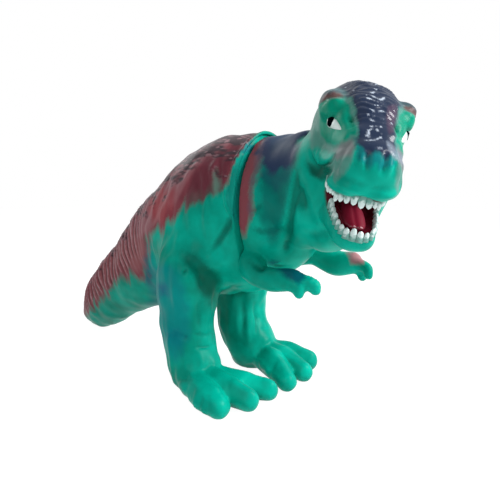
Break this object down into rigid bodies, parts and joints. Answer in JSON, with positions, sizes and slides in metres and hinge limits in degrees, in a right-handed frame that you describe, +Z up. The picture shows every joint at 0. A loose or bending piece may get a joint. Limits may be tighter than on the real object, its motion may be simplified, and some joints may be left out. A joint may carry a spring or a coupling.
{
  "type": "toy dinosaur figure",
  "caption": "Standing two-legged toy dinosaur of hollow soft vinyl with an open, toothed mouth and small arms; its front half turns on its rear half at the waist.",
  "frame": {"origin": "middle of the figure's length and width, on the ground under its soles", "axes": "+Z up; -Y the way the figure's trunk faces, with the tail towards +Y; -X the figure's right side, to which its head is turned"},
  "size_m": [0.103, 0.3254, 0.1591],
  "materials": {
    "rear_vinyl": "semi-gloss soft vinyl, jade green, sprayed maroon-brown on the back and tail",
    "front_vinyl": "semi-gloss soft vinyl, jade green, sprayed maroon-brown and navy, with painted eyes, teeth and mouth"
  },
  "bodies": {
    "rear": {"rear_body": "rear_vinyl"},
    "front": {"front_body": "front_vinyl"}
  },
  "joints": [
    {"name": "waist", "type": "hinge", "parent": "rear", "child": "front", "pos_m": [0.0053, -0.0699, 0.104], "axis": [0, 1, 0], "continuous": true}
  ]
}
